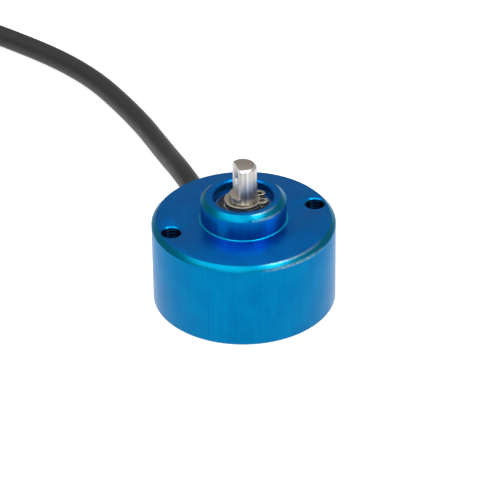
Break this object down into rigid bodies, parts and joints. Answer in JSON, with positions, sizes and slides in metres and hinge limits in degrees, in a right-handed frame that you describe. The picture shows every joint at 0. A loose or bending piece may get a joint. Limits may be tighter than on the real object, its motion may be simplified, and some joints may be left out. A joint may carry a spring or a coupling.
{
  "type": "rotary encoder",
  "caption": "Miniature magnetic rotary encoder: round blue anodised housing with pilot boss, flatted steel shaft on ball bearings, and a side cable.",
  "frame": {"origin": "centre of the housing's underside", "axes": "+Z along the shaft, out of the flange; mounting holes on X; the shaft's flat faces -X; the cable leaves along +Y"},
  "size_m": [0.0678, 0.2395, 0.0332],
  "materials": {
    "anodised_blue": "satin blue anodised aluminium, turned",
    "shaft_steel": "ground stainless steel",
    "stainless_steel": "plain stainless steel",
    "spring_steel": "stamped spring steel",
    "shim_steel": "plain steel shim",
    "bearing_steel": "ground bearing steel",
    "polished_steel": "polished balls",
    "shield_steel": "pressed steel shield",
    "cage_brass": "pressed brass",
    "aluminium": "turned aluminium",
    "brass": "turned brass",
    "nickel_plate": "nickel plated magnet",
    "green_board": "green solder mask",
    "chip_black": "moulded epoxy",
    "ceramic_tan": "ceramic capacitor",
    "tinned_metal": "tinned copper",
    "black_rubber": "moulded rubber",
    "cable_jacket": "satin PVC jacket",
    "clamp_nylon": "natural nylon",
    "tie_black": "black tie",
    "sleeve_black": "heat-shrink sleeve",
    "wire_red": "red PVC insulation",
    "wire_black": "black PVC insulation",
    "wire_white": "white PVC insulation",
    "wire_green": "green PVC insulation",
    "wire_yellow": "yellow PVC insulation"
  },
  "bodies": {
    "housing": {"housing": "anodised_blue", "rear_cover": "anodised_blue", "cover_gasket": "black_rubber", "cover_screws": "stainless_steel", "preload_disc_spring": "spring_steel", "circuit_board": "green_board", "board_standoffs": "brass", "board_screws": "stainless_steel", "sensor_chip": "chip_black", "sensor_leads": "tinned_metal", "line_driver_chip": "chip_black", "board_capacitors": "ceramic_tan", "solder_pads": "tinned_metal", "cable_grommet": "black_rubber", "cable_inner_end": "cable_jacket", "cable_clamp": "clamp_nylon", "cable": "cable_jacket", "cable_coil": "cable_jacket", "cable_tail": "cable_jacket", "coil_ties": "tie_black", "end_sleeve": "sleeve_black", "lead_ferrules": "tinned_metal", "front_bearing_outer_ring": "bearing_steel", "front_bearing_shields": "shield_steel", "rear_bearing_outer_ring": "bearing_steel", "rear_bearing_shields": "shield_steel", "inner_lead_red": "wire_red", "flying_lead_red": "wire_red", "inner_lead_black": "wire_black", "flying_lead_black": "wire_black", "inner_lead_white": "wire_white", "flying_lead_white": "wire_white", "inner_lead_green": "wire_green", "flying_lead_green": "wire_green", "inner_lead_yellow": "wire_yellow", "flying_lead_yellow": "wire_yellow"},
    "rotor": {"shaft": "shaft_steel", "retaining_ring": "spring_steel", "shim_washer": "shim_steel", "front_bearing_inner_ring": "bearing_steel", "rear_bearing_inner_ring": "bearing_steel", "inner_ring_spacer": "aluminium", "magnet_holder": "brass", "magnet": "nickel_plate"},
    "front_ball_set": {"front_bearing_balls": "polished_steel", "front_bearing_cage": "cage_brass"},
    "rear_ball_set": {"rear_bearing_balls": "polished_steel", "rear_bearing_cage": "cage_brass"}
  },
  "joints": [
    {"name": "shaft_spin", "type": "hinge", "parent": "housing", "child": "rotor", "pos_m": [0, 0, 0.0255], "axis": [0, 0, 1], "continuous": true},
    {"name": "front_balls_orbit", "type": "hinge", "parent": "housing", "child": "front_ball_set", "pos_m": [0, 0, 0.0205], "axis": [0, 0, 1], "continuous": true},
    {"name": "rear_balls_orbit", "type": "hinge", "parent": "housing", "child": "rear_ball_set", "pos_m": [0, 0, 0.0144], "axis": [0, 0, 1], "continuous": true}
  ],
  "couplings": [
    {"joint": "front_balls_orbit", "follows": "shaft_spin", "ratio": 0.41642},
    {"joint": "rear_balls_orbit", "follows": "shaft_spin", "ratio": 0.41642}
  ]
}
